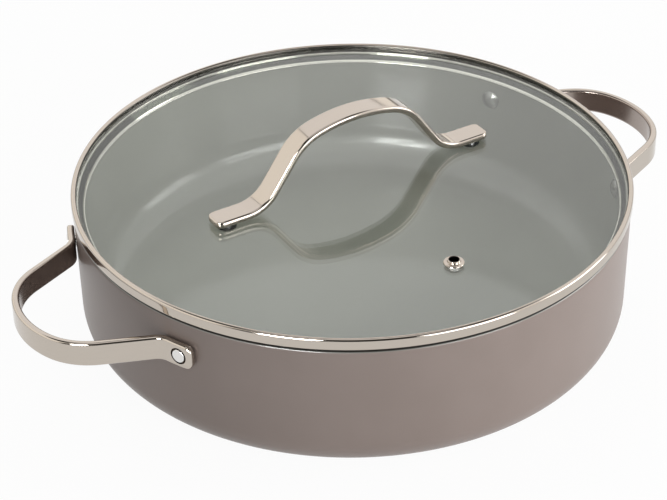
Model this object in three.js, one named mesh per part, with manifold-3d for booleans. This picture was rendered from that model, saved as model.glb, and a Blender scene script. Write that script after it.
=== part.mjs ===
// Shallow casserole pan with two strap handles and a glass lid with a strap handle.
// Millimetres, +Z up. The pan stands on Z = 0, X runs through the side handles, the lid lies on the rim.

import * as THREE from 'three';
import { mergeVertices } from 'three/addons/utils/BufferGeometryUtils.js';
import Module from 'manifold-3d';

// Clearances between pieces that touch
const GAP = 0.3;
const LID_GAP = 0.2;

// Pan
const PAN_RADIUS = 142.5;
const PAN_HEIGHT = 71.3;
const WALL = 2.7;
const WALL_DRAFT = 0.6;
const FLOOR = 4.5;
const CORNER_RADIUS = 17;
const INNER_CORNER_RADIUS = 16;
const RIM_ROUND = 1.3;

// Steel plate let into the underside
const PLATE_RADIUS = 112;
const PLATE_THICKNESS = 0.8;
const PLATE_EDGE = 0.3;

// Strap that all three handles are bent from
const STRAP_WIDTH = 13;
const STRAP_THICKNESS = 3.7;
const STRAP_EDGE = 1.4;
const TAB_CORNER = 4.2;

// Side handles, sizes along the outer face of the strap
const HANDLE_REACH = 187.2;
const HANDLE_MID_HEIGHT = 54.4;
const HANDLE_CROWN = 50;
const HANDLE_CORNER = 35;
const HANDLE_CROWN_END = degrees(22);
const HANDLE_LEG_ANGLE = degrees(67);
const HANDLE_BEND = 7;
const HANDLE_TAB_END = degrees(26.7);
const TAB_STANDOFF = 0.5;
const RIVET_ANGLE = degrees(23.7);

// Rivets
const RIVET_SHANK = 3.5;
const RIVET_HEAD = 5.25;
const RIVET_HEAD_HEIGHT = 2.2;
const RIVET_END_ROUND = 0.4;
const RIVET_PROUD = 0.3;
const RIVET_SEAT = 0.45;
const TAB_HOLE = 4.4;

// Lid glass
const GLASS_TOP = 76.3;
const GLASS_THICKNESS = 3.1;
const GLASS_RADIUS = 141.9;

// Steel rim of the lid, rolled from sheet
const SHEET = 0.5;
const BAND_RADIUS = 143.2;
const BEAD_RADIUS = 1.4;
const BEAD_TOP = 78.6;
const BEAD_END = degrees(170);
const BEAD_INNER_END = degrees(210);
const BAND_FOOT_ROUND = 0.9;
const LIP_RADIUS = 138.1;
const LIP_TILT = 0.25;
const SKIRT_RADIUS = 137.2;
const SKIRT_FOOT = 67;
const SKIRT_FOLD = 0.6;
const SEAT_RADIUS = 139.9;
const SEAT_DROP = 1.35;

// Lid handle, sizes along the top face of the strap
const BOW_HALF_LENGTH = 81.7;
const BOW_LIFT = 0.8;
const BOW_RISE = 37;
const BOW_CROWN = 85;
const BOW_SHOULDER = 30;
const BOW_FOOT = 18;
const BOW_CROWN_END = degrees(15);
const BOW_FLANK_ANGLE = degrees(54);

// Fastening of the lid handle
const SCREW_PLACE = 73.5;
const SCREW_RADIUS = 2;
const SCREW_DEPTH = 1.8;
const SCREW_HEAD = 3.8;
const SCREW_HEAD_HEIGHT = 1.6;
const SOCKET_RADIUS = 1.4;
const SOCKET_DEPTH = 1;
const GASKET_RADIUS = 5;
const SLEEVE_RADIUS = 3.2;
const SEAL_RADIUS = 5;
const SEAL_THICKNESS = 0.8;
const WASHER_RADIUS = 4.4;
const WASHER_THICKNESS = 0.6;

// Steam vent
const VENT_PLACE = -92;
const VENT_HOLE = 2.4;
const VENT_TUBE = 3.1;
const VENT_FLANGE = 5.2;
const VENT_FLANGE_THICKNESS = 0.9;
const VENT_COLLAR = 1.3;
const VENT_ROLL = 4.2;
const VENT_ROLL_THICKNESS = 0.5;
const VENT_WASHER_RADIUS = 4.8;
const VENT_WASHER_THICKNESS = 0.7;

// Sides of the round pieces
const LARGE_SIDES = 60;
const SMALL_SIDES = 16;
const VENT_SIDES = 20;

// How far a drill runs past the faces that it cuts
const DRILL_PAST = 1;

// Heights that follow from the sizes above
const GLASS_FOOT = GLASS_TOP - GLASS_THICKNESS;
const FLANGE_TOP = GLASS_FOOT - LID_GAP;
const FLANGE_FOOT = FLANGE_TOP - SHEET;
const LIP_FOOT = GLASS_TOP + LID_GAP;
const BOW_FOOT_HEIGHT = GLASS_TOP + BOW_LIFT;
const SEAL_TOP = GLASS_FOOT - LID_GAP;
const WASHER_TOP = SEAL_TOP - SEAL_THICKNESS - LID_GAP;
const SCREW_SEAT = WASHER_TOP - WASHER_THICKNESS - LID_GAP;

// Finishes
const taupeCoat = finish(0x8d807a, 0.45, 0.3);
const polishedSteel = finish(0xd3c9bd, 0.18, 1);
const plainSteel = finish(0xb9b7b3, 0.4, 1);
const clearGlass = finish(0xaeb4ad, 0.05, 0);
const blackRubber = finish(0x1b1b1b, 0.75, 0);
clearGlass.transparent = true;
clearGlass.opacity = 0.35;

function degrees(angle) {
  return THREE.MathUtils.degToRad(angle);
}

function finish(color, roughness, metalness) {
  return new THREE.MeshStandardMaterial({ color, roughness, metalness });
}

// Solids for cutting and joining

const wasm = await Module();
wasm.setup();

function welded(geometry) {
  const plain = geometry.clone();
  plain.deleteAttribute('normal');
  plain.deleteAttribute('uv');
  return mergeVertices(plain);
}

function toSolid(geometry) {
  const mesh = welded(geometry);
  const corners = mesh.index.array;
  const kept = [];
  for (let i = 0; i < corners.length; i += 3) {
    const [a, b, c] = corners.subarray(i, i + 3);
    if (a !== b && b !== c && c !== a) kept.push(a, b, c);
  }
  const vertProperties = Float32Array.from(mesh.attributes.position.array);
  return new wasm.Manifold(new wasm.Mesh({ numProp: 3, vertProperties, triVerts: Uint32Array.from(kept) }));
}

function toGeometry(solid) {
  const { vertProperties, triVerts } = solid.getMesh();
  const geometry = new THREE.BufferGeometry();
  geometry.setAttribute('position', new THREE.BufferAttribute(vertProperties, 3));
  geometry.setIndex(new THREE.BufferAttribute(triVerts, 1));
  geometry.computeVertexNormals();
  return geometry;
}

function cut(geometry, tools) {
  return toGeometry(tools.reduce((solid, tool) => solid.subtract(toSolid(tool)), toSolid(geometry)));
}

// Shapes

// Points on an arc, as [across, up] pairs.
function arc(across, up, radius, from, to, steps) {
  const points = [];
  for (let i = 0; i <= steps; i += 1) {
    const angle = from + (to - from) * i / steps;
    points.push([across + radius * Math.cos(angle), up + radius * Math.sin(angle)]);
  }
  return points;
}

// A solid of revolution about Z. The profile of [radius, height] points runs anticlockwise.
function turned(profile, sides) {
  const points = profile.map(([radius, height]) => new THREE.Vector2(radius, height));
  return toGeometry(toSolid(new THREE.LatheGeometry(points, sides).rotateX(Math.PI / 2)));
}

// A ring whose profile closes on itself.
function ring(profile, sides) {
  return turned([...profile, profile[0]], sides);
}

// A flat washer with square edges, from its inner and outer radius, foot and thickness.
function washer(inner, outer, foot, thickness) {
  const top = foot + thickness;
  return ring([[inner, foot], [outer, foot], [outer, top], [inner, top]], SMALL_SIDES);
}

// An upright cylinder between two heights, used as a drill.
function drill(radius, foot, top, sides = SMALL_SIDES) {
  return new THREE.CylinderGeometry(radius, radius, top - foot, sides)
    .rotateX(Math.PI / 2).translate(0, 0, (foot + top) / 2);
}

// A bent strap: its outline, seen edge on, is drawn in XY and pulled up Z with rounded edges.
function strap(outline) {
  const shape = new THREE.Shape(outline.map(([x, y]) => new THREE.Vector2(x, y)));
  return new THREE.ExtrudeGeometry(shape, {
    depth: STRAP_WIDTH - 2 * STRAP_EDGE,
    bevelEnabled: true,
    bevelThickness: STRAP_EDGE,
    bevelSize: STRAP_EDGE,
    bevelOffset: -STRAP_EDGE,
    bevelSegments: 2,
  }).translate(0, 0, STRAP_EDGE - STRAP_WIDTH / 2);
}

// A plate with rounded corners in XY, centred on the origin and as thick as given along Z.
function roundedPlate(length, width, corner, thickness) {
  const across = length / 2 - corner;
  const up = width / 2 - corner;
  const quarter = Math.PI / 2;
  const outline = [
    ...arc(across, up, corner, 0, quarter, 4),
    ...arc(-across, up, corner, quarter, 2 * quarter, 4),
    ...arc(-across, -up, corner, 2 * quarter, 3 * quarter, 4),
    ...arc(across, -up, corner, 3 * quarter, 4 * quarter, 4),
  ];
  const shape = new THREE.Shape(outline.map(([x, y]) => new THREE.Vector2(x, y)));
  return new THREE.ExtrudeGeometry(shape, { depth: thickness, bevelEnabled: false })
    .translate(0, 0, -thickness / 2);
}

// Pan

// Outer radius of the pan's wall at a height above its bottom corner.
function wallRadius(height) {
  const straight = PAN_HEIGHT - CORNER_RADIUS;
  return PAN_RADIUS - WALL_DRAFT * (PAN_HEIGHT - height) / straight;
}

// Points a tool out through the wall of the pan, along a rivet's axis.
function throughWall(geometry, angle) {
  return geometry.clone().rotateY(Math.PI / 2).rotateZ(angle).translate(0, 0, HANDLE_MID_HEIGHT);
}

const rivetPlaces = [
  ['rivet_right_front', -RIVET_ANGLE],
  ['rivet_right_back', RIVET_ANGLE],
  ['rivet_left_front', Math.PI + RIVET_ANGLE],
  ['rivet_left_back', Math.PI - RIVET_ANGLE],
];

function panBody() {
  const quarter = Math.PI / 2;
  const foot = wallRadius(CORNER_RADIUS);
  const innerFoot = foot - WALL;
  const recess = PLATE_RADIUS + GAP;
  const profile = [
    [0, PLATE_THICKNESS + GAP],
    [recess, PLATE_THICKNESS + GAP],
    [recess, 0],
    ...arc(foot - CORNER_RADIUS, CORNER_RADIUS, CORNER_RADIUS, -quarter, 0, 6),
    ...arc(PAN_RADIUS - RIM_ROUND, PAN_HEIGHT - RIM_ROUND, RIM_ROUND, 0, quarter, 2),
    ...arc(PAN_RADIUS - WALL + RIM_ROUND, PAN_HEIGHT - RIM_ROUND, RIM_ROUND, quarter, 2 * quarter, 2),
    ...arc(innerFoot - INNER_CORNER_RADIUS, FLOOR + INNER_CORNER_RADIUS, INNER_CORNER_RADIUS, 0, -quarter, 5),
    [0, FLOOR],
  ];
  const hole = drill(RIVET_SHANK + GAP, PAN_RADIUS - 2 * WALL, PAN_RADIUS + DRILL_PAST);
  return cut(turned(profile, LARGE_SIDES), rivetPlaces.map(([, angle]) => throughWall(hole, angle)));
}

function basePlate() {
  return turned([
    [0, 0],
    [PLATE_RADIUS - PLATE_EDGE, 0],
    [PLATE_RADIUS, PLATE_EDGE],
    [PLATE_RADIUS, PLATE_THICKNESS],
    [0, PLATE_THICKNESS],
  ], LARGE_SIDES);
}

// Side handles

// Radius of the faces of a tab that lies along the wall.
const TAB_INNER = wallRadius(HANDLE_MID_HEIGHT) + TAB_STANDOFF;
const TAB_OUTER = TAB_INNER + STRAP_THICKNESS;

// Half of the handle seen from above, from the middle of the bow to the end of a tab.
// The line lies inside the outer face by the given distance.
function handleHalf(inside) {
  const crownX = HANDLE_REACH - HANDLE_CROWN;
  const cornerStep = HANDLE_CROWN - HANDLE_CORNER;
  const cornerX = crownX + cornerStep * Math.cos(HANDLE_CROWN_END);
  const cornerY = cornerStep * Math.sin(HANDLE_CROWN_END);
  const legAlong = cornerX * Math.cos(HANDLE_LEG_ANGLE) + cornerY * Math.sin(HANDLE_LEG_ANGLE);
  const legDistance = legAlong + HANDLE_CORNER;
  const bendReach = TAB_OUTER + HANDLE_BEND;
  const bendAngle = HANDLE_LEG_ANGLE - Math.acos((legDistance + HANDLE_BEND) / bendReach);
  const bendX = bendReach * Math.cos(bendAngle);
  const bendY = bendReach * Math.sin(bendAngle);
  return [
    ...arc(crownX, 0, HANDLE_CROWN - inside, 0, HANDLE_CROWN_END, 4),
    ...arc(cornerX, cornerY, HANDLE_CORNER - inside, HANDLE_CROWN_END, HANDLE_LEG_ANGLE, 6).slice(1),
    ...arc(bendX, bendY, HANDLE_BEND + inside, Math.PI + HANDLE_LEG_ANGLE, Math.PI + bendAngle, 5),
    ...arc(0, 0, TAB_OUTER - inside, bendAngle, HANDLE_TAB_END, 3).slice(1),
  ];
}

function sideHandle() {
  const mirrored = (half) => half.slice(1).reverse().map(([x, y]) => [x, -y]);
  const outer = handleHalf(0);
  const inner = handleHalf(STRAP_THICKNESS);
  const outline = [
    ...mirrored(outer),
    ...outer,
    ...inner.slice().reverse(),
    ...inner.slice(1).map(([x, y]) => [x, -y]),
  ];
  const span = 2 * TAB_OUTER * Math.sin(HANDLE_TAB_END);
  const rounding = roundedPlate(STRAP_WIDTH, span, TAB_CORNER, HANDLE_REACH)
    .rotateY(Math.PI / 2).translate((HANDLE_REACH + PAN_RADIUS) / 2, 0, 0);
  const bent = toGeometry(toSolid(strap(outline)).intersect(toSolid(rounding)));
  const hole = drill(TAB_HOLE, TAB_INNER - DRILL_PAST, TAB_OUTER + DRILL_PAST).rotateY(Math.PI / 2);
  const holes = [-RIVET_ANGLE, RIVET_ANGLE].map((angle) => hole.clone().rotateZ(angle));
  return cut(bent, holes).translate(0, 0, HANDLE_MID_HEIGHT);
}

// A rivet on the Z axis: domed head inside the pan, flat end in the hole of the tab.
function rivet() {
  const seat = wallRadius(HANDLE_MID_HEIGHT) - WALL - RIVET_SEAT;
  const end = TAB_OUTER + RIVET_PROUD;
  const domeRadius = (RIVET_HEAD ** 2 + RIVET_HEAD_HEIGHT ** 2) / (2 * RIVET_HEAD_HEIGHT);
  const domeEdge = Math.asin(RIVET_HEAD / domeRadius);
  const lowest = -Math.PI / 2;
  return turned([
    ...arc(0, seat - RIVET_HEAD_HEIGHT + domeRadius, domeRadius, lowest, lowest + domeEdge, 4),
    [RIVET_SHANK, seat],
    [RIVET_SHANK, end - RIVET_END_ROUND],
    [RIVET_SHANK - RIVET_END_ROUND, end],
    [0, end],
  ], SMALL_SIDES);
}

// Lid

function lidGlass() {
  const round = GLASS_THICKNESS / 2;
  const disc = turned([
    [0, GLASS_FOOT],
    ...arc(GLASS_RADIUS - round, GLASS_FOOT + round, round, -Math.PI / 2, Math.PI / 2, 4),
    [0, GLASS_TOP],
  ], LARGE_SIDES);
  const holeFoot = GLASS_FOOT - DRILL_PAST;
  const holeTop = GLASS_TOP + DRILL_PAST;
  const screwHole = drill(SLEEVE_RADIUS + GAP, holeFoot, holeTop);
  const ventHole = drill(VENT_TUBE + GAP, holeFoot, holeTop);
  return cut(disc, [
    screwHole.clone().translate(-SCREW_PLACE, 0, 0),
    screwHole.clone().translate(SCREW_PLACE, 0, 0),
    ventHole.translate(0, VENT_PLACE, 0),
  ]);
}

// The rim's sheet runs from the skirt out under the glass, up the band, over the bead and in to the lip.
function lidRim() {
  const quarter = Math.PI / 2;
  const beadR = BAND_RADIUS - BEAD_RADIUS;
  const beadZ = BEAD_TOP - BEAD_RADIUS;
  const footR = BAND_RADIUS - BAND_FOOT_ROUND;
  const footZ = FLANGE_FOOT + BAND_FOOT_ROUND;
  const foldR = SKIRT_RADIUS + SKIRT_FOLD;
  const foldZ = FLANGE_FOOT - SEAT_DROP - SKIRT_FOLD;
  const half = SHEET / 2;
  const lipTop = LIP_FOOT + SHEET;
  return ring([
    ...arc(SKIRT_RADIUS - half, SKIRT_FOOT + half, half, -2 * quarter, 0, 2),
    ...arc(foldR, foldZ, SKIRT_FOLD, 2 * quarter, quarter, 2),
    [SEAT_RADIUS, FLANGE_FOOT - SEAT_DROP],
    ...arc(footR, footZ, BAND_FOOT_ROUND, -quarter, 0, 3),
    ...arc(beadR, beadZ, BEAD_RADIUS, 0, BEAD_END, 6),
    [beadR - BEAD_RADIUS - SHEET, lipTop],
    [LIP_RADIUS + SHEET, lipTop - LIP_TILT / 2],
    [LIP_RADIUS, lipTop - LIP_TILT],
    [LIP_RADIUS, LIP_FOOT],
    ...arc(beadR, beadZ, BEAD_RADIUS - SHEET, BEAD_INNER_END, 0, 4),
    ...arc(footR, footZ, BAND_FOOT_ROUND - SHEET, 0, -quarter, 2),
    [SEAT_RADIUS, FLANGE_TOP - SEAT_DROP],
    ...arc(foldR, foldZ, SKIRT_FOLD + SHEET, quarter, 2 * quarter, 2),
  ], LARGE_SIDES);
}

// Half of the lid handle seen from the side, from the top of the bow to the end of a tab.
// The line lies under the top face by the given distance.
function bowHalf(under) {
  const tabTop = BOW_FOOT_HEIGHT + STRAP_THICKNESS;
  const crownZ = tabTop + BOW_RISE - BOW_CROWN;
  const up = Math.PI / 2;
  const shoulderStep = BOW_CROWN - BOW_SHOULDER;
  const shoulderX = shoulderStep * Math.sin(BOW_CROWN_END);
  const shoulderZ = crownZ + shoulderStep * Math.cos(BOW_CROWN_END);
  const flankX = shoulderX + BOW_SHOULDER * Math.sin(BOW_FLANK_ANGLE);
  const flankZ = shoulderZ + BOW_SHOULDER * Math.cos(BOW_FLANK_ANGLE);
  const bendZ = tabTop + BOW_FOOT * (1 - Math.cos(BOW_FLANK_ANGLE));
  const bendX = flankX + (flankZ - bendZ) / Math.tan(BOW_FLANK_ANGLE);
  const footX = bendX + BOW_FOOT * Math.sin(BOW_FLANK_ANGLE);
  return [
    ...arc(0, crownZ, BOW_CROWN - under, up, up - BOW_CROWN_END, 4),
    ...arc(shoulderX, shoulderZ, BOW_SHOULDER - under, up - BOW_CROWN_END, up - BOW_FLANK_ANGLE, 6).slice(1),
    ...arc(footX, tabTop + BOW_FOOT, BOW_FOOT + under, -up - BOW_FLANK_ANGLE, -up, 6),
    [BOW_HALF_LENGTH, tabTop - under],
  ];
}

function lidHandle() {
  const flip = ([x, z]) => [-x, z];
  const top = bowHalf(0);
  const underside = bowHalf(STRAP_THICKNESS);
  const outline = [
    ...underside.slice(1).reverse().map(flip),
    ...underside,
    ...top.slice().reverse(),
    ...top.slice(1).map(flip),
  ];
  const tall = 2 * BOW_RISE;
  const rounding = roundedPlate(2 * BOW_HALF_LENGTH, STRAP_WIDTH, TAB_CORNER, tall)
    .translate(0, 0, BOW_FOOT_HEIGHT + BOW_RISE / 2);
  const standing = strap(outline).rotateX(Math.PI / 2);
  const bent = toGeometry(toSolid(standing).intersect(toSolid(rounding)));
  const threads = drill(SCREW_RADIUS + GAP, GLASS_TOP, BOW_FOOT_HEIGHT + SCREW_DEPTH + GAP);
  return cut(bent, [-SCREW_PLACE, SCREW_PLACE].map((x) => threads.clone().translate(x, 0, 0)));
}

// The pieces of one fastening, drawn on the Z axis

// A screw from below, with a low round head and a six-sided socket.
function screw() {
  const foot = SCREW_SEAT - SCREW_HEAD_HEIGHT;
  const top = BOW_FOOT_HEIGHT + SCREW_DEPTH;
  const curve = arc(0, 0, 1, -Math.PI / 2, 0, 4);
  const blank = turned([
    ...curve.map(([across, up]) => [across * SCREW_HEAD, SCREW_SEAT + up * SCREW_HEAD_HEIGHT]),
    [SCREW_RADIUS, SCREW_SEAT],
    [SCREW_RADIUS, top],
    [0, top],
  ], SMALL_SIDES);
  return cut(blank, [drill(SOCKET_RADIUS, foot - DRILL_PAST, foot + SOCKET_DEPTH, 6)]);
}

// A soft pad under the tab with a sleeve that lines the hole in the glass.
function gasket() {
  const inner = SCREW_RADIUS + GAP;
  const sleeveFoot = GLASS_FOOT + LID_GAP;
  const padFoot = GLASS_TOP + LID_GAP;
  const padTop = BOW_FOOT_HEIGHT - LID_GAP;
  return ring([
    [inner, sleeveFoot],
    [SLEEVE_RADIUS, sleeveFoot],
    [SLEEVE_RADIUS, padFoot],
    [GASKET_RADIUS, padFoot],
    [GASKET_RADIUS, padTop],
    [inner, padTop],
  ], SMALL_SIDES);
}

// Steam vent: a stepped collar on a flange, a tube through the glass, rolled out over a washer.
function ventEyelet() {
  const flangeFoot = GLASS_TOP + LID_GAP;
  const flangeTop = flangeFoot + VENT_FLANGE_THICKNESS;
  const collarTop = flangeTop + VENT_COLLAR;
  const rollTop = GLASS_FOOT - VENT_WASHER_THICKNESS - 2 * LID_GAP;
  const rollFoot = rollTop - VENT_ROLL_THICKNESS;
  const collarRadius = VENT_TUBE + LID_GAP;
  const round = (collarRadius - VENT_HOLE) / 2;
  return ring([
    [VENT_HOLE, rollFoot + VENT_ROLL_THICKNESS],
    [VENT_HOLE + VENT_ROLL_THICKNESS, rollFoot],
    [VENT_ROLL, rollFoot],
    [VENT_ROLL, rollTop],
    [VENT_TUBE, rollTop],
    [VENT_TUBE, flangeFoot],
    [VENT_FLANGE, flangeFoot],
    [VENT_FLANGE, flangeTop - round],
    [VENT_FLANGE - round, flangeTop],
    [collarRadius + round, flangeTop],
    [collarRadius, flangeTop + round],
    ...arc(VENT_HOLE + round, collarTop - round, round, 0, Math.PI, 4),
  ], VENT_SIDES);
}

// Assembly

const casserole = new THREE.Group();

function place(name, geometry, material, x = 0, y = 0) {
  const mesh = new THREE.Mesh(geometry, material);
  mesh.name = name;
  mesh.position.set(x, y, 0);
  casserole.add(mesh);
  return mesh;
}

place('pan_body', panBody(), taupeCoat);
place('base_plate', basePlate(), plainSteel);
place('handle_right', sideHandle(), polishedSteel);
place('handle_left', sideHandle(), polishedSteel).rotation.z = Math.PI;
for (const [name, angle] of rivetPlaces) {
  place(name, throughWall(rivet(), angle), polishedSteel);
}

place('lid_glass', lidGlass(), clearGlass);
place('lid_rim', lidRim(), polishedSteel);
place('lid_handle', lidHandle(), polishedSteel);
for (const [side, x] of [['left', -SCREW_PLACE], ['right', SCREW_PLACE]]) {
  const bore = SCREW_RADIUS + GAP;
  const sealFoot = SEAL_TOP - SEAL_THICKNESS;
  const washerFoot = WASHER_TOP - WASHER_THICKNESS;
  place(`screw_${side}`, screw(), plainSteel, x);
  place(`gasket_${side}`, gasket(), blackRubber, x);
  place(`seal_${side}`, washer(bore, SEAL_RADIUS, sealFoot, SEAL_THICKNESS), blackRubber, x);
  place(`washer_${side}`, washer(bore, WASHER_RADIUS, washerFoot, WASHER_THICKNESS), plainSteel, x);
}
const ventWasherFoot = GLASS_FOOT - LID_GAP - VENT_WASHER_THICKNESS;
const ventWasher = washer(VENT_TUBE + GAP, VENT_WASHER_RADIUS, ventWasherFoot, VENT_WASHER_THICKNESS);
place('vent_eyelet', ventEyelet(), polishedSteel, 0, VENT_PLACE);
place('vent_washer', ventWasher, plainSteel, 0, VENT_PLACE);

export default casserole;
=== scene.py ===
"""Looks of a shallow casserole pan: coated pan, bent strap handles, steel-rimmed glass lid."""

import math

import bmesh
import bpy
from mathutils import Matrix, Vector


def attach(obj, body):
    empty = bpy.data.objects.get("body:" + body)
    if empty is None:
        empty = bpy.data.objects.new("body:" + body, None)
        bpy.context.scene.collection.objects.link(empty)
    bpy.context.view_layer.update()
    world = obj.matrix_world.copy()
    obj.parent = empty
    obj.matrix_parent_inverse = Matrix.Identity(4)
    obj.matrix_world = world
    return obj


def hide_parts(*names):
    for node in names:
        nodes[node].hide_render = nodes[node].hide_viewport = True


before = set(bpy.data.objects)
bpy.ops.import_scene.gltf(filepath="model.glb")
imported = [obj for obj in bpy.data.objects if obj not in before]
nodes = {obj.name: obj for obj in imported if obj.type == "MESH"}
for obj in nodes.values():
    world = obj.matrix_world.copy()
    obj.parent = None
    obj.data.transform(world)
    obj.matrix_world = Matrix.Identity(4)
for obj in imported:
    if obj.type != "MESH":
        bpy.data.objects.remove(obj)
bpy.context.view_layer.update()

MM = 0.001
TURN = 2 * math.pi
LARGE_STEPS = 192
SMALL_STEPS = 48
SHARP = math.radians(40)
SAME_SPOT = 1e-6

# Pan, in millimetres
PAN_RADIUS = 142.5
PAN_HEIGHT = 71.3
WALL = 2.7
WALL_DRAFT = 0.6
FLOOR = 4.5
CORNER = 17
INNER_CORNER = 22
RIM_ROUND = 1.3
PLATE_RADIUS = 112
PLATE_THICKNESS = 0.8
PLATE_EDGE = 0.3
RECESS_EDGE = 0.2
GAP = 0.3

# Rings close to a round, which keep the long face beside it straight
HOLD = 2
RIM_HOLD = 1.5
HOLD_DRAFT = 0.02

# Straps, in millimetres along their middle line
STRAP_WIDTH = 13
STRAP_THICKNESS = 3.7
STRAP_EDGE = 1.4
TAB_CORNER = 4.2
STRAP_CUTS = 319
CROWDING = 0.4
HALF = STRAP_THICKNESS / 2

# Side handles and rivets
HANDLE_REACH = 187.2
HANDLE_HEIGHT = 54.4
HANDLE_CROWN = 50
HANDLE_CORNER = 35
HANDLE_BEND = 7
TAB_STANDOFF = 0.5
TAB_HOLE = 4.4
DRILL_LENGTH = 10
RIVET_SHANK = 3.5
RIVET_HEAD = 5.25
RIVET_HEAD_HEIGHT = 2.2
RIVET_SEAT = 0.45
RIVET_PROUD = 0.3
RIVET_ROUND = 0.4
CROWN_END = math.radians(22)
LEG_ANGLE = math.radians(67)
TAB_END = math.radians(26.7)
RIVET_ANGLE = math.radians(23.7)

# Lid glass and the band round it
GLASS_TOP = 76.3
GLASS_FOOT = 73.2
SHEET = 0.5
LID_GAP = 0.2
BAND_RADIUS = 143.2
BEAD = 1.4
BEAD_TOP = 78.6
BAND_FOOT_ROUND = 0.9
CRIMP_EDGE = 0.1
SEAT_INNER = 139.7
SEAT_OUTER = 140.8
SEAT_DROP = 0.9
SEAT_BEND = (-0.16, -0.2), (0.02, -0.05), (0.25, 0)
RIDGE_RADIUS = 140.2
RIDGE = 0.55
RIDGE_LIFT = 0.3
RIDGE_TOE = 0.15
RIDGE_TOE_DROP = 0.1
SKIRT_FOOT_RADIUS = 136.9
SKIRT_FOOT = 67.7
SKIRT_ACROSS = -0.781, 0.625
HEM = 0.55

# Bow handle and its fastenings
BOW_TOP = 117.8
BOW_RISE = 37
BOW_CROWN = 85
BOW_SHOULDER = 30
BOW_FOOT = 18
BOW_HALF_LENGTH = 81.7
BOW_LIFT = 0.8
BOW_CROWN_END = math.radians(15)
BOW_FLANK = math.radians(54)
SCREW_PLACE = 73.5
SCREW_HOLE = 2.3
PAD_RADIUS = 4.5
PAD_SLEEVE = 3.2
PAD_EDGE = 0.1
SEAL_RADIUS = 5
SEAL_THICKNESS = 0.8
WASHER_RADIUS = 4.4
WASHER_THICKNESS = 0.6
WASHER_EDGE = 0.12

# Steam vent
VENT_PLACE = -92
VENT_BORE = 2.4
VENT_SLEEVE = 3.1
VENT_COLLAR = 3.3
VENT_FLANGE = 5.2
VENT_RISE = 1.75
VENT_ROUND = 0.45
VENT_EDGE = 0.2
VENT_ROLL = 4.2
VENT_ROLL_HEIGHT = 0.5
VENT_WASHER_THICKNESS = 0.7


# Shader wires

class Wire:
    """A socket in a node tree. Arithmetic on wires adds Math nodes, and | takes the larger."""

    def __init__(self, tree, socket=None):
        self.tree = tree
        self.socket = socket

    def node(self, kind, settings=None, sockets=None, output=0):
        """Adds a node with its settings, then the values or links of its sockets."""
        made = self.tree.nodes.new(kind)
        for name, value in (settings or {}).items():
            setattr(made, name, value)
        for name, value in (sockets or {}).items():
            if isinstance(value, Wire):
                self.tree.links.new(value.socket, made.inputs[name])
            else:
                made.inputs[name].default_value = value
        return None if output is None else Wire(self.tree, made.outputs[output])

    def maths(self, operation, *values):
        return self.node("ShaderNodeMath", {"operation": operation}, dict(enumerate(values)))

    def vector(self, operation, *values, output=0):
        settings = {"operation": operation}
        return self.node("ShaderNodeVectorMath", settings, dict(enumerate(values)), output)

    def __add__(self, other):
        return self.maths("ADD", self, other)

    __radd__ = __add__

    def __sub__(self, other):
        return self.maths("SUBTRACT", self, other)

    def __rsub__(self, other):
        return self.maths("SUBTRACT", other, self)

    def __mul__(self, other):
        return self.maths("MULTIPLY", self, other)

    __rmul__ = __mul__

    def __or__(self, other):
        return self.maths("MAXIMUM", self, other)

    def beyond(self, least):
        return (self - least) | 0.0

    def below(self, most):
        return self.maths("MINIMUM", self, most)

    def between(self, low, high):
        """0 below low, 1 above high, with a smooth ramp between them."""
        ramp = {0: self, 1: low, 2: high, 3: 0.0, 4: 1.0}
        return self.node("ShaderNodeMapRange", {"interpolation_type": "SMOOTHSTEP"}, ramp)

    def mix(self, first, second):
        """Goes from the first colour to the second as this wire goes from 0 to 1."""
        first, second = (end if isinstance(end, Wire) else (*end, 1) for end in (first, second))
        colours = {0: self, 6: first, 7: second}
        return self.node("ShaderNodeMix", {"data_type": "RGBA"}, colours, output=2)

    def noise(self, scale, detail=2.0):
        sockets = {"Vector": self, "Scale": scale, "Detail": detail}
        return self.node("ShaderNodeTexNoise", {}, sockets)

    def stretched(self, scale):
        return self.vector("MULTIPLY", self, scale)

    def dot(self, other):
        return self.vector("DOT_PRODUCT", self, other, output=1)

    def along(self, direction):
        return self.dot(Vector(direction).normalized())

    def length(self):
        return self.vector("LENGTH", self, output=1)

    def radius(self):
        """Distance from the upright axis."""
        return self.stretched((1, 1, 0)).length()

    def height(self):
        return self.node("ShaderNodeSeparateXYZ", {}, {0: self}, output=2)

    def ray(self, kind):
        """1 for light paths of a kind."""
        return self.node("ShaderNodeLightPath", output=f"Is {kind} Ray")

    def bump(self, strength, distance):
        sockets = {"Strength": strength, "Distance": distance, "Height": self}
        return self.node("ShaderNodeBump", {}, sockets)

    def surface(self, **sockets):
        """A Principled shader. Socket names take _ for a space."""
        named = {name.replace("_", " "): value for name, value in sockets.items()}
        return self.node("ShaderNodeBsdfPrincipled", {}, named)

    def shown(self):
        self.node("ShaderNodeOutputMaterial", {}, {"Surface": self}, output=None)


def new_finish(name):
    """An empty material and the place on the piece, in metres, as a wire in it."""
    material = bpy.data.materials.new(name)
    material.use_nodes = True
    material.node_tree.nodes.clear()
    return material, Wire(material.node_tree).node("ShaderNodeTexCoord", output="Object")


# Colours of the finishes, and of the painted shade and highlights

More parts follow.
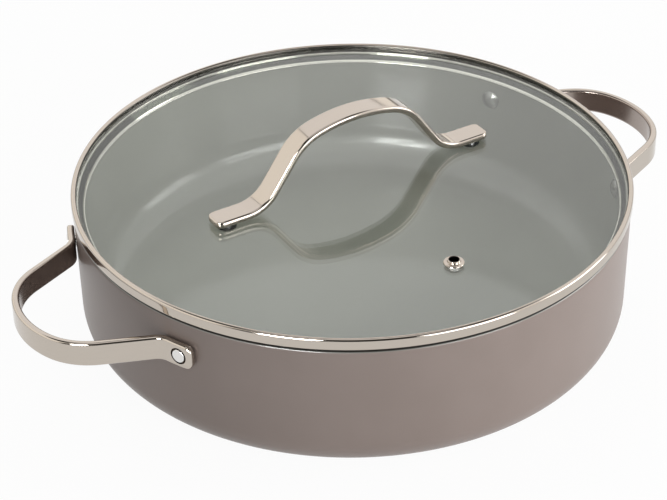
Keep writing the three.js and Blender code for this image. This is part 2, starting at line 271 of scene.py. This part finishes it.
TAUPE = (0.238, 0.189, 0.168), (0.252, 0.201, 0.180)
CERAMIC = (0.325, 0.329, 0.290), (0.343, 0.347, 0.308)
CERAMIC_SPECK = 0.40, 0.40, 0.355
# painted shade for the rim's top, where the lid's band hangs over it
RIM_GAP_SHADE = 0.045, 0.042, 0.038
WARM_STEEL = 0.56, 0.505, 0.445
PLAIN_STEEL = 0.56, 0.55, 0.53
# the rivets' steel: neutral, and brighter than the strap's as a painted highlight on the rivet
# ends
RIVET_STEEL_AND_HIGHLIGHT = 0.80, 0.79, 0.77
# painted shade on the rivet heads inside the pan
RIVET_HEAD_SHADE = 0.30, 0.30, 0.28
# painted shade on the handles' faces that mirror the pan
LOOP_INSIDE_SHADE = 0.36, 0.31, 0.28
# painted shade inside the vent's hole
BORE_SHADE = 0.01, 0.01, 0.01
# painted shade in the band's crimp
CRIMP_SHADE = 0.10, 0.095, 0.085
# painted highlight on the band's seat, ridge and hem
FOLD_HIGHLIGHT = 0.77, 0.75, 0.68
# painted shade on the band's skirt under the glass
SKIRT_SHADE = 0.045, 0.050, 0.038
CLEAN_GLASS = 0.955, 0.970, 0.955
SMEARED_GLASS = 0.94, 0.955, 0.94
GLASS_SHADE = 0.84, 0.86, 0.84, 1
RUBBER = (0.008, 0.008, 0.008), (0.020, 0.020, 0.020)

# Where one finish, painted shade or painted highlight goes over into another, in metres
CORNER_RISE = CORNER * MM
CORNER_RING = (PAN_RADIUS - WALL_DRAFT - CORNER) * MM
UPPER_WALL = 0.060, 0.071
UPPER_WALL_SHIFT = 0.0010
CERAMIC_EDGE = 0.0163, 0.0165
UNDERSIDE = 0.0030, 0.0035
# bounds of the painted shade on the rim's top
GAP_SHADE_FOOT = 0.0700, 0.0706
GAP_SHADE_EDGE = 0.1419, 0.1424
RIVET_HEAD_EDGE = 0.1395, 0.1405
VENT_BORE_EDGE = 0.0026, 0.0029
BEAD_FLANK = 0.1405, 0.1409
BEAD_FLANK_FOOT = 0.0750, 0.0755
UNDER_GLASS = 0.0733, 0.0736
CHANNEL_INNER = 0.14085, 0.1410
CHANNEL_OUTER = 0.1426, 0.1429
SKIRT_OUTER = 0.1394, 0.1396
SKIRT_INNER = 0.1374, 0.1376

# Grain of the polish: marks per metre along X, Y and Z
BOW_GRAIN = 40, 7000, 40
LOOP_GRAIN = 40, 40, 7000
EVEN_GRAIN = 1500, 1500, 1500
LATHE_GRAIN = 5000.0


# Finishes

def pan_coating():
    """Satin taupe outside, grey-green ceramic inside, parted along the outer edge of the rim,
    with painted shade on the rim's top under the lid's band.
    """
    material, place = new_finish("pan_coating")
    radius, height = place.radius(), place.height()
    past_corner = {
        0: radius.beyond(CORNER_RING),
        1: CORNER_RISE - height.below(CORNER_RISE),
    }
    reach = place.node("ShaderNodeCombineXYZ", {}, past_corner).length()
    edge = reach - height.between(*UPPER_WALL) * UPPER_WALL_SHIFT
    inside = (1 - edge.between(*CERAMIC_EDGE)) * height.between(*UNDERSIDE)
    cloud = place.noise(28.0).between(0.3, 0.7)
    speck = place.noise(2600.0, 1.0).between(0.45, 0.75)
    dusted = (speck * 0.35).mix(cloud.mix(*CERAMIC), CERAMIC_SPECK)
    # painted shade on the rim's top, under the overhang of the lid's band
    gap_shade = height.between(*GAP_SHADE_FOOT) * (1 - radius.between(*GAP_SHADE_EDGE))
    peel = place.noise(900.0)
    surface = place.surface(
        Base_Color=gap_shade.mix(inside.mix(cloud.mix(*TAUPE), dusted), RIM_GAP_SHADE),
        Roughness=0.42 - inside * 0.10 + cloud * 0.03,
        Normal=peel.bump(0.04, 0.0001),
        Coat_Weight=0.22 + inside * 0.78,
        Coat_Roughness=0.10,
    )
    surface.shown()
    return material


def loop_inside_shade(place):
    """1 on the faces of a side handle that look back at the pan, where painted shade stands for
    the dark pan they mirror.
    """
    normal = place.node("ShaderNodeNewGeometry", output="Normal")
    inwards = place.vector("NORMALIZE", place.stretched((-1, -1, 0)))
    return normal.dot(inwards).between(0.15, 0.5)


def rivet_head_shade(place):
    """1 on the rivet heads inside the pan, which get painted shade."""
    return 1 - place.radius().between(*RIVET_HEAD_EDGE)


def vent_bore_shade(place):
    """1 inside the hole of the vent, which gets painted shade."""
    from_vent = place.vector("ADD", place, (0, -VENT_PLACE * MM, 0))
    return 1 - from_vent.radius().between(*VENT_BORE_EDGE)


def with_marks(marks, colour, share):
    """A colour that is darker by a share in the polishing marks."""
    return marks.between(0.2, 0.8).mix([part * share for part in colour], colour)


def steel(name, grain, colour, roughness, shade=None, shaded=None):
    """Polished steel. The grain is short across the polishing marks and long along them.
    A shade is a rule for the faces that get painted shade: the shaded colour and a rougher
    surface."""
    material, place = new_finish(name)
    marks = place.stretched(grain).noise(1.0, 3.0)
    smudge = place.noise(45.0).between(0.35, 0.7)
    tone = with_marks(marks, colour, 0.96)
    haze = roughness + smudge * 0.03 + marks * 0.04
    if shade:
        painted_shade = shade(place)
        tone = painted_shade.mix(tone, shaded)
        haze = haze + painted_shade * 0.12
    surface = place.surface(
        Base_Color=tone,
        Metallic=1.0,
        Roughness=haze,
        Normal=marks.bump(0.05, 0.00004),
    )
    surface.shown()
    return material


def lathe_marks(place, radius, height):
    """Marks that run round the upright axis, and the haze of marks and smudges."""
    across = {0: radius * LATHE_GRAIN, 1: height * LATHE_GRAIN}
    marks = place.node("ShaderNodeCombineXYZ", {}, across).noise(1.0, 3.0)
    smudge = place.noise(40.0).between(0.35, 0.7)
    return marks, smudge * 0.03 + marks * 0.05


def plate_steel():
    """Plain steel of the base plate, turned on a lathe."""
    material, place = new_finish("base_steel")
    marks, haze = lathe_marks(place, place.radius(), place.height())
    surface = place.surface(
        Base_Color=with_marks(marks, PLAIN_STEEL, 0.95),
        Metallic=1.0,
        Roughness=0.34 + haze,
        Normal=marks.bump(0.05, 0.00004),
    )
    surface.shown()
    return material


def band_steel():
    """Steel of the lid's band: polished where it shows, with painted shade and a rougher surface
    on the bead's inner flank and in the channel under the glass, painted shade on the skirt, and
    a painted highlight on the seat, ridge and hem.
    """
    material, place = new_finish("band_steel")
    radius, height = place.radius(), place.height()
    marks, haze = lathe_marks(place, radius, height)
    # painted shade on the bead's inner flank and, below, in the channel under the glass
    bead_flank = (1 - radius.between(*BEAD_FLANK)) * height.between(*BEAD_FLANK_FOOT)
    low = 1 - height.between(*UNDER_GLASS)
    outer = radius.between(*CHANNEL_INNER)
    painted_shade = bead_flank | outer * (1 - radius.between(*CHANNEL_OUTER)) * low
    # painted highlight on the seat, ridge and hem
    fold_highlight = (1 - outer) * low
    # painted shade on the skirt
    skirt_shade = (1 - radius.between(*SKIRT_OUTER)) * radius.between(*SKIRT_INNER)
    bright = fold_highlight.mix(with_marks(marks, WARM_STEEL, 0.95), FOLD_HIGHLIGHT)
    surface = place.surface(
        Base_Color=painted_shade.mix(skirt_shade.mix(bright, SKIRT_SHADE), CRIMP_SHADE),
        Metallic=1.0,
        Roughness=0.04 + haze + painted_shade * 0.2,
        Normal=marks.bump(0.05, 0.00004),
    )
    surface.shown()
    return material


def clear_glass():
    """Lid glass. Light that only passes through on its way to the food side goes straight."""
    material, place = new_finish("clear_glass")
    smear = place.noise(14.0, 3.0).between(0.45, 0.8)
    solid = place.surface(
        Base_Color=smear.mix(CLEAN_GLASS, SMEARED_GLASS),
        Roughness=smear * 0.012,
        IOR=1.5,
        Transmission_Weight=1.0,
    )
    straight = place.node("ShaderNodeBsdfTransparent", {}, {"Color": GLASS_SHADE})
    passing = place.ray("Shadow") | place.ray("Diffuse")
    mixed = place.node("ShaderNodeMixShader", {}, {0: passing, 1: solid, 2: straight})
    mixed.shown()
    return material


def black_rubber():
    """Matt black rubber of the pads and seals."""
    material, place = new_finish("black_rubber")
    grain = place.noise(1800.0)
    surface = place.surface(
        Base_Color=grain.mix(*RUBBER),
        Roughness=0.55 + grain * 0.2,
        Normal=grain.bump(0.15, 0.0001),
    )
    surface.shown()
    return material


coating = pan_coating()
bow_steel = steel("bow_steel", BOW_GRAIN, WARM_STEEL, 0.06)
loop_steel = steel("loop_steel", LOOP_GRAIN, WARM_STEEL, 0.06, loop_inside_shade, LOOP_INSIDE_SHADE)
rivet_steel = steel("rivet_steel", EVEN_GRAIN, RIVET_STEEL_AND_HIGHLIGHT, 0.12, rivet_head_shade, RIVET_HEAD_SHADE)
vent_steel = steel("vent_steel", EVEN_GRAIN, WARM_STEEL, 0.08, vent_bore_shade, BORE_SHADE)
rim_steel = band_steel()
base_steel = plate_steel()
screw_steel = steel("screw_steel", EVEN_GRAIN, PLAIN_STEEL, 0.30)
glass = clear_glass()
rubber = black_rubber()


# Mesh making

def drawn(bm, start, moves):
    """Draws a profile in the XZ plane, in millimetres.
    A move is a line to (x, z) or an arc (x, z, degrees, steps) about (x, z)."""
    first = tip = bm.verts.new((start[0] * MM, 0, start[1] * MM))
    for x, z, *arc in moves:
        spot = Vector((x * MM, 0, z * MM))
        if arc:
            degrees, steps = arc
            grown = bmesh.ops.spin(
                bm, geom=[tip], cent=spot, axis=(0, -1, 0),
                angle=math.radians(degrees), steps=steps,
            )
            ends = grown["geom_last"]
            tip = next(part for part in ends if isinstance(part, bmesh.types.BMVert))
        else:
            tip = bmesh.ops.extrude_vert_indiv(bm, verts=[tip])["verts"][0]
            tip.co = spot
    return first, tip


def turned(start, moves, steps, closed=False):
    """Spins a drawn profile about Z. A closed profile makes a ring."""
    bm = bmesh.new()
    first, last = drawn(bm, start, moves)
    if closed:
        bm.edges.new((last, first))
    bmesh.ops.remove_doubles(bm, verts=bm.verts, dist=SAME_SPOT)
    bmesh.ops.spin(
        bm, geom=bm.verts[:] + bm.edges[:], cent=(0, 0, 0), axis=(0, 0, 1),
        angle=TURN, steps=steps, use_merge=True,
    )
    bmesh.ops.remove_doubles(bm, verts=bm.verts, dist=SAME_SPOT)
    bmesh.ops.recalc_face_normals(bm, faces=bm.faces)
    return bm


def point_on(path, heading, distance):
    """Point and heading on a bent middle line of (length, curvature) stretches."""
    across = up = 0.0
    for length, curvature in path:
        step = min(length, distance)
        turn = step * curvature
        if curvature:
            across += (math.sin(heading + turn) - math.sin(heading)) / curvature
            up += (math.cos(heading) - math.cos(heading + turn)) / curvature
        else:
            across += step * math.cos(heading)
            up += step * math.sin(heading)
        heading += turn
        distance -= step
    return across, up, heading


def round_loss(radius, from_end):
    """What a rounded end takes off a face, at a distance from the end."""
    if from_end >= radius:
        return 0
    return radius - math.sqrt(max(radius ** 2 - (radius - from_end) ** 2, 0))


def bent_strap(path, heading):
    """A strap with rounded edges and tab corners, bent along a path that is the same
    both ways from its middle. Its middle lies at the origin, with the path in XY,
    in millimetres."""
    half = sum(length for length, _ in path)

    def lengthways():
        return [e for e in bm.edges if abs(e.verts[0].co.x - e.verts[1].co.x) > half]

    bm = bmesh.new()
    size = Matrix.Diagonal((2 * half, STRAP_WIDTH, STRAP_THICKNESS, 1))
    bmesh.ops.create_cube(bm, size=1, matrix=size)
    bmesh.ops.bevel(
        bm, geom=lengthways(), offset=STRAP_EDGE, offset_type="OFFSET",
        segments=6, profile=0.5, affect="EDGES", material=-1,
    )
    bmesh.ops.subdivide_edges(bm, edges=lengthways(), cuts=STRAP_CUTS, use_grid_fill=True)
    for vert in bm.verts:
        share = vert.co.x / half
        place = half * ((1 + CROWDING) * share - CROWDING * share ** 3)
        from_end = half - abs(place)
        width = vert.co.y * (1 - 2 * round_loss(TAB_CORNER, from_end) / STRAP_WIDTH)
        depth = vert.co.z * (1 - 2 * round_loss(STRAP_EDGE, from_end) / STRAP_THICKNESS)
        x, y, way = point_on(path, heading, abs(place))
        x += depth * math.sin(way)
        y -= depth * math.cos(way)
        vert.co = (x, y if place >= 0 else -y, width)
    bmesh.ops.recalc_face_normals(bm, faces=bm.faces)
    return bm


def moved(bm, matrix):
    bmesh.ops.transform(bm, matrix=matrix, verts=bm.verts)
    bmesh.ops.recalc_face_normals(bm, faces=bm.faces)
    return bm


def drilled(bm, drills):
    """Cuts the drills out of a closed mesh."""
    parts = []
    for source in (bm, drills):
        mesh = bpy.data.meshes.new("blank")
        source.to_mesh(mesh)
        source.free()
        part = bpy.data.objects.new("blank", mesh)
        bpy.context.scene.collection.objects.link(part)
        parts.append(part)
    body, tool = parts
    cut = body.modifiers.new("holes", "BOOLEAN")
    cut.object = tool
    cut.solver = "EXACT"
    result = bmesh.new()
    result.from_object(body, bpy.context.evaluated_depsgraph_get())
    for part in parts:
        mesh = part.data
        bpy.data.objects.remove(part)
        bpy.data.meshes.remove(mesh)
    return result


def piece(name, bm, material, body, slot, *stood_for, level=False):
    """Makes a shown piece that rides on a body and takes the place of solids.
    A level piece has its flat faces shaded flat beside their rounded edges."""
    for face in bm.faces:
        face.smooth = True
    for edge in bm.edges:
        edge.smooth = not (edge.is_manifold and edge.calc_face_angle() > SHARP)
    mesh = bpy.data.meshes.new(name)
    bm.to_mesh(mesh)
    bm.free()
    mesh.materials.append(material)
    made = bpy.data.objects.new(name, mesh)
    bpy.context.scene.collection.objects.link(made)
    if level:
        made.modifiers.new("level_faces", "WEIGHTED_NORMAL").keep_sharp = True
    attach(made, body)
    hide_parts(*stood_for)
    return made


def finished(name, material):
    """Gives a finish to a solid that is shown as it is."""
    materials = nodes[name].data.materials
    materials.clear()
    materials.append(material)


# Pan

wall_foot = PAN_RADIUS - WALL_DRAFT
inner_foot = wall_foot - WALL
rim_foot = PAN_HEIGHT - RIM_ROUND
inner_rim = PAN_RADIUS - WALL + RIM_ROUND
floor_round = FLOOR + INNER_CORNER
recess = PLATE_RADIUS + GAP
recess_top = PLATE_THICKNESS + GAP
shell = turned((0, recess_top), [
    (recess, recess_top),
    (recess, RECESS_EDGE),
    (recess + RECESS_EDGE, 0),
    (wall_foot - CORNER - HOLD, 0),
    (wall_foot - CORNER, 0),
    (wall_foot - CORNER, CORNER, 90, 28),
    (PAN_RADIUS - HOLD_DRAFT, rim_foot - RIM_HOLD),
    (PAN_RADIUS, rim_foot),
    (PAN_RADIUS - RIM_ROUND, rim_foot, 90, 8),
    (inner_rim, PAN_HEIGHT),
    (inner_rim, rim_foot, 90, 8),
    (inner_foot + HOLD_DRAFT, floor_round + HOLD),
    (inner_foot, floor_round),
    (inner_foot - INNER_CORNER, floor_round, -90, 28),
    (inner_foot - INNER_CORNER - HOLD, FLOOR),
    (0, FLOOR),
], LARGE_STEPS)
piece("pan_shell", shell, coating, "pan", "coated_aluminium", "pan_body")

plate = turned((0, 0), [
    (PLATE_RADIUS - PLATE_EDGE, 0),
    (PLATE_RADIUS, PLATE_EDGE),
    (PLATE_RADIUS, PLATE_THICKNESS),
    (0, PLATE_THICKNESS),
], LARGE_STEPS)
piece("hob_plate", plate, base_steel, "pan", "plain_steel", "base_plate")


# Side handles and rivets

wall_here = PAN_RADIUS - WALL_DRAFT * (PAN_HEIGHT - HANDLE_HEIGHT) / (PAN_HEIGHT - CORNER)
tab_inner = wall_here + TAB_STANDOFF
tab_outer = tab_inner + STRAP_THICKNESS
crown_x = HANDLE_REACH - HANDLE_CROWN
corner_x = crown_x + (HANDLE_CROWN - HANDLE_CORNER) * math.cos(CROWN_END)
corner_y = (HANDLE_CROWN - HANDLE_CORNER) * math.sin(CROWN_END)
leg_out = corner_x * math.cos(LEG_ANGLE) + corner_y * math.sin(LEG_ANGLE) + HANDLE_CORNER
bend_reach = tab_outer + HANDLE_BEND
bend_angle = LEG_ANGLE - math.acos((leg_out + HANDLE_BEND) / bend_reach)
leg_start = corner_y * math.cos(LEG_ANGLE) - corner_x * math.sin(LEG_ANGLE)
leg_length = bend_reach * math.sin(bend_angle - LEG_ANGLE) - leg_start
crown_r, corner_r = HANDLE_CROWN - HALF, HANDLE_CORNER - HALF
bend_r, tab_r = HANDLE_BEND + HALF, tab_outer - HALF
loop_path = [
    (crown_r * CROWN_END, 1 / crown_r),
    (corner_r * (LEG_ANGLE - CROWN_END), 1 / corner_r),
    (leg_length, 0),
    (bend_r * (LEG_ANGLE - bend_angle), -1 / bend_r),
    (tab_r * (TAB_END - bend_angle), 1 / tab_r),
]


def outward(angle):
    """Turns a piece made on Z to point out through the wall at an angle."""
    up = Matrix.Translation((0, 0, HANDLE_HEIGHT * MM))
    return up @ Matrix.Rotation(angle, 4, "Z") @ Matrix.Rotation(TURN / 4, 4, "Y")


def rivet():
    """Domed head inside the pan, plain shank, flat end that fills the hole in the tab."""
    seat = wall_here - WALL - RIVET_SEAT
    end = tab_outer + RIVET_PROUD
    dome = (RIVET_HEAD ** 2 + RIVET_HEAD_HEIGHT ** 2) / (2 * RIVET_HEAD_HEIGHT)
    dome_edge = math.degrees(math.asin(RIVET_HEAD / dome))
    return turned((0, seat - RIVET_HEAD_HEIGHT), [
        (0, seat - RIVET_HEAD_HEIGHT + dome, dome_edge, 10),
        (RIVET_SHANK, seat),
        (RIVET_SHANK, end - RIVET_ROUND),
        (RIVET_SHANK - RIVET_ROUND, end - RIVET_ROUND, 90, 5),
        (0, end),
    ], SMALL_STEPS)


for side, facing in (("right", 0), ("left", TURN / 2)):
    out = Matrix.Translation((HANDLE_REACH - HALF, 0, HANDLE_HEIGHT))
    to_wall = Matrix.Rotation(facing, 4, "Z") @ out
    loop = moved(bent_strap(loop_path, TURN / 4), Matrix.Scale(MM, 4) @ to_wall)
    drills = bmesh.new()
    for angle in (facing - RIVET_ANGLE, facing + RIVET_ANGLE):
        bmesh.ops.create_cone(
            drills, cap_ends=True, segments=SMALL_STEPS,
            radius1=TAB_HOLE * MM, radius2=TAB_HOLE * MM, depth=DRILL_LENGTH * MM,
            matrix=outward(angle) @ Matrix.Translation((0, 0, tab_r * MM)),
        )
    loop = drilled(loop, drills)
    piece(f"loop_{side}", loop, loop_steel, "pan", "polished_steel", f"handle_{side}", level=True)

for name, angle in (
    ("rivet_right_front", -RIVET_ANGLE),
    ("rivet_right_back", RIVET_ANGLE),
    ("rivet_left_front", TURN / 2 + RIVET_ANGLE),
    ("rivet_left_back", TURN / 2 - RIVET_ANGLE),
):
    headed = moved(rivet(), outward(angle))
    piece(f"{name}_turned", headed, rivet_steel, "pan", "polished_steel", name)


# Lid glass and the band round it

flange_foot = GLASS_FOOT - LID_GAP - SHEET
crimp_foot = GLASS_TOP + LID_GAP
bead_r, bead_z = BAND_RADIUS - BEAD, BEAD_TOP - BEAD
foot_r, foot_z = BAND_RADIUS - BAND_FOOT_ROUND, flange_foot + BAND_FOOT_ROUND
seat_z = flange_foot - SEAT_DROP
ridge_z = seat_z + RIDGE_LIFT
crimp = bead_r - BEAD
across_r, across_z = SKIRT_ACROSS
hem_rise = math.sqrt(HEM ** 2 - SHEET ** 2 / 4)
hem_turn = 360 - 2 * math.degrees(math.asin(SHEET / 2 / HEM))
hem_start = (
    SKIRT_FOOT_RADIUS + SHEET / 2 * across_r + hem_rise * across_z,
    SKIRT_FOOT + SHEET / 2 * across_z - hem_rise * across_r,
)
band = turned(hem_start, [
    (SKIRT_FOOT_RADIUS, SKIRT_FOOT, hem_turn, 20),
    *[(SEAT_INNER + out, seat_z + up) for out, up in SEAT_BEND],
    (SEAT_OUTER, seat_z),
    (foot_r, flange_foot),
    (foot_r, foot_z, 90, 12),
    (BAND_RADIUS, bead_z),
    (bead_r, bead_z, 180, 28),
    (crimp, crimp_foot + CRIMP_EDGE),
    (crimp + CRIMP_EDGE, crimp_foot),
    (crimp + SHEET, crimp_foot),
    (crimp + SHEET, bead_z),
    (bead_r, bead_z, -180, 16),
    (foot_r + BAND_FOOT_ROUND - SHEET, foot_z),
    (foot_r, foot_z, -90, 8),
    (RIDGE_RADIUS + RIDGE, ridge_z),
    (RIDGE_RADIUS, ridge_z, 180, 12),
    (RIDGE_RADIUS - RIDGE - RIDGE_TOE, seat_z - RIDGE_TOE_DROP),
], LARGE_STEPS, closed=True)
piece("rolled_band", band, rim_steel, "lid", "polished_steel", "lid_rim")
finished("lid_glass", glass)


# Bow handle and its fastenings

flank_fall = BOW_RISE - (
    BOW_CROWN * (1 - math.cos(BOW_CROWN_END))
    + BOW_SHOULDER * (math.cos(BOW_CROWN_END) - math.cos(BOW_FLANK))
    + BOW_FOOT * (1 - math.cos(BOW_FLANK))
)
flank_length = flank_fall / math.sin(BOW_FLANK)
tab_start = (
    BOW_CROWN * math.sin(BOW_CROWN_END)
    + BOW_SHOULDER * (math.sin(BOW_FLANK) - math.sin(BOW_CROWN_END))
    + flank_length * math.cos(BOW_FLANK)
    + BOW_FOOT * math.sin(BOW_FLANK)
)
bow_crown, bow_shoulder, bow_foot = BOW_CROWN - HALF, BOW_SHOULDER - HALF, BOW_FOOT + HALF
bow_path = [
    (bow_crown * BOW_CROWN_END, 1 / bow_crown),
    (bow_shoulder * (BOW_FLANK - BOW_CROWN_END), 1 / bow_shoulder),
    (flank_length, 0),
    (bow_foot * BOW_FLANK, -1 / bow_foot),
    (BOW_HALF_LENGTH - tab_start, 0),
]
upright = Matrix(((0, 1, 0, 0), (0, 0, 1, 0), (1, 0, 0, BOW_TOP - HALF), (0, 0, 0, 1)))
bow = moved(bent_strap(bow_path, TURN / 4), Matrix.Scale(MM, 4) @ upright)
piece("bow", bow, bow_steel, "lid", "polished_steel", "lid_handle", level=True)


def pad():
    """Soft pad under a tab, with a sleeve through the glass."""
    top, foot = GLASS_TOP + BOW_LIFT - LID_GAP, GLASS_TOP + LID_GAP
    return turned((SCREW_HOLE, GLASS_FOOT + LID_GAP), [
        (PAD_SLEEVE, GLASS_FOOT + LID_GAP),
        (PAD_SLEEVE, foot),
        (PAD_RADIUS - PAD_EDGE, foot),
        (PAD_RADIUS, foot + PAD_EDGE),
        (PAD_RADIUS, top - PAD_EDGE),
        (PAD_RADIUS - PAD_EDGE, top),
        (SCREW_HOLE, top),
    ], SMALL_STEPS, closed=True)


def washer(radius, foot, top):
    """Washer on a screw, with broken edges."""
    return turned((SCREW_HOLE, foot), [
        (radius - WASHER_EDGE, foot),
        (radius, foot + WASHER_EDGE),
        (radius, top - WASHER_EDGE),
        (radius - WASHER_EDGE, top),
        (SCREW_HOLE, top),
    ], SMALL_STEPS, closed=True)


seal_top = GLASS_FOOT - LID_GAP
seal_foot = seal_top - SEAL_THICKNESS
washer_top = seal_foot - LID_GAP
washer_foot = washer_top - WASHER_THICKNESS
for side, x in (("left", -SCREW_PLACE), ("right", SCREW_PLACE)):
    shift = Matrix.Translation((x * MM, 0, 0))
    piece(f"pad_{side}", moved(pad(), shift), rubber, "lid", "black_rubber", f"gasket_{side}")
    soft = moved(washer(SEAL_RADIUS, seal_foot, seal_top), shift)
    piece(f"soft_washer_{side}", soft, rubber, "lid", "black_rubber", f"seal_{side}")
    flat = moved(washer(WASHER_RADIUS, washer_foot, washer_top), shift)
    piece(f"flat_washer_{side}", flat, screw_steel, "lid", "plain_steel", f"washer_{side}")
    finished(f"screw_{side}", screw_steel)


# Steam vent

flange = GLASS_TOP + LID_GAP
step = flange + VENT_ROUND
roll = GLASS_FOOT - VENT_WASHER_THICKNESS - 2 * LID_GAP
eyelet = turned((VENT_BORE, roll), [
    (VENT_BORE + VENT_ROLL_HEIGHT, roll - VENT_ROLL_HEIGHT),
    (VENT_ROLL - VENT_EDGE, roll - VENT_ROLL_HEIGHT),
    (VENT_ROLL, roll - VENT_ROLL_HEIGHT + VENT_EDGE),
    (VENT_ROLL, roll),
    (VENT_SLEEVE, roll),
    (VENT_SLEEVE, flange),
    (VENT_FLANGE - VENT_EDGE, flange),
    (VENT_FLANGE, flange + VENT_EDGE),
    (VENT_FLANGE, step),
    (VENT_FLANGE - VENT_ROUND, step, 90, 6),
    (VENT_COLLAR + VENT_ROUND, step + VENT_ROUND),
    (VENT_COLLAR + VENT_ROUND, step + 2 * VENT_ROUND, -90, 6),
    (VENT_COLLAR, flange + VENT_RISE),
    ((VENT_BORE + VENT_COLLAR) / 2, flange + VENT_RISE, 180, 10),
], SMALL_STEPS, closed=True)
collar = moved(eyelet, Matrix.Translation((0, VENT_PLACE * MM, 0)))
piece("vent_collar", collar, vent_steel, "lid", "polished_steel", "vent_eyelet")
finished("vent_washer", screw_steel)


# Studio

WHITE = 1, 1, 1, 1
FLOOR_TONES = (0.86, 0.86, 0.855), (0.88, 0.88, 0.875)
FLOOR_SIZE = 8
FLOOR_DROP = 0.0003
ROOM_LIGHT = 0.36, 0.357, 0.352
SCREENS = (1.22, 1.17, 1.10), (1.14, 1.11, 1.10)
SCREEN_WAY = 0.47, 0.0, 1.0
SCREEN_GAP = 0.35, 0.33, 0.31
DARK_ROOM = 0.05, 0.048, 0.044
DARK_SIDE_WAY = -0.53, -0.85, 0.25
BACK_WAY = 0.13, 0.90, 0.42
BACK_TONES = (1, 1, 1), (0.5, 0.5, 0.5)
LIGHT_AIM = Vector((0, 0, 0.04))

scene = bpy.context.scene
scene.view_settings.view_transform = "Standard"


def white_floor():
    """A pale floor that keeps the pan's shadow and shows white to the camera."""
    material, place = new_finish("white_floor")
    tone = place.noise(3.0).mix(*FLOOR_TONES)
    matt = place.node("ShaderNodeBsdfDiffuse", {}, {"Color": tone})
    white = place.node("ShaderNodeEmission", {}, {"Color": WHITE, "Strength": 1.0})
    whiteness = place.ray("Camera") * 0.95 + place.ray("Glossy") * 0.75
    seen = place.node("ShaderNodeMixShader", {}, {0: whiteness, 1: matt, 2: white})
    seen.shown()
    return material


floor_mesh = bmesh.new()
floor_place = Matrix.Translation((0, 0, -FLOOR_DROP))
bmesh.ops.create_grid(
    floor_mesh, x_segments=1, y_segments=1, size=FLOOR_SIZE, matrix=floor_place)
ground = bpy.data.meshes.new("studio_floor")
floor_mesh.to_mesh(ground)
floor_mesh.free()
ground.materials.append(white_floor())
studio_floor = bpy.data.objects.new("studio_floor", ground)
scene.collection.objects.link(studio_floor)


def mirrored_room(way):
    """What the steel and the glass mirror: two pale screens with a gap between them,
    a darker ceiling and horizon, and one dark side."""
    seam = way.dot(SCREEN_WAY)
    screens = seam.between(0.575, 0.595).mix(*SCREENS)
    gap = seam.between(0.560, 0.573) - seam.between(0.577, 0.590)
    rise = way.along((0, 0, 1))
    ceiling = rise.between(0.76, 0.84) - rise.between(0.92, 0.96) * 0.85
    horizon = (rise.between(-0.02, 0.01) - rise.between(0.07, 0.11)) * 0.75
    dark_side = way.along(DARK_SIDE_WAY).between(0.58, 0.76)
    return (ceiling | horizon | dark_side).mix(gap.mix(screens, SCREEN_GAP), DARK_ROOM)


world = bpy.data.worlds.new("studio")
scene.world = world
world.use_nodes = True
world.node_tree.nodes.clear()
way = Wire(world.node_tree).node("ShaderNodeTexCoord", output="Generated")
sky = way.ray("Glossy").mix(ROOM_LIGHT, mirrored_room(way))
backdrop = way.along(BACK_WAY).between(0.93, 0.98).mix(*BACK_TONES)
sky = (way.ray("Camera") | way.ray("Transmission")).mix(sky, backdrop)
light = way.node("ShaderNodeBackground", {}, {"Color": sky, "Strength": 1.0})
way.node("ShaderNodeOutputWorld", {}, {"Surface": light}, output=None)


def softbox(name, spot, width, height, power, mirrored=True, lighting=True):
    """A soft light that looks at the pan. It may be kept out of reflections,
    or shown in them without lighting the matt faces."""
    lamp = bpy.data.lights.new(name, "AREA")
    lamp.shape = "RECTANGLE"
    lamp.size, lamp.size_y = width, height
    lamp.energy = power
    stand = bpy.data.objects.new(name, lamp)
    stand.visible_glossy = stand.visible_transmission = mirrored
    stand.visible_diffuse = lighting
    stand.location = spot
    stand.rotation_euler = (LIGHT_AIM - Vector(spot)).to_track_quat("-Z", "Y").to_euler()
    scene.collection.objects.link(stand)


softbox("front_softbox", (0.29, -1.60, 0.50), width=1.00, height=1.00, power=15.5)
softbox("left_strip", (-1.28, -0.88, 0.76), width=0.62, height=0.55, power=26.0, lighting=False)
softbox("right_softbox", (1.45, -0.85, 0.55), width=0.9, height=0.9, power=8.4)
softbox("top_softbox", (0.25, 0.60, 1.10), width=0.8, height=0.8, power=5.2, mirrored=False)

lens = bpy.data.cameras.new("photo_camera")
lens.lens = 115.11
lens.sensor_width = 36
lens.sensor_fit = "HORIZONTAL"
lens.clip_start, lens.clip_end = 0.05, 50
photo_camera = bpy.data.objects.new("photo_camera", lens)
photo_camera.matrix_world = Matrix((
    (0.84864, 0.30328, -0.43339, -0.49179),
    (-0.52877, 0.46386, -0.71080, -0.78753),
    (-0.01454, 0.83238, 0.55401, 0.65074),
    (0, 0, 0, 1),
))
scene.collection.objects.link(photo_camera)
scene.camera = photo_camera
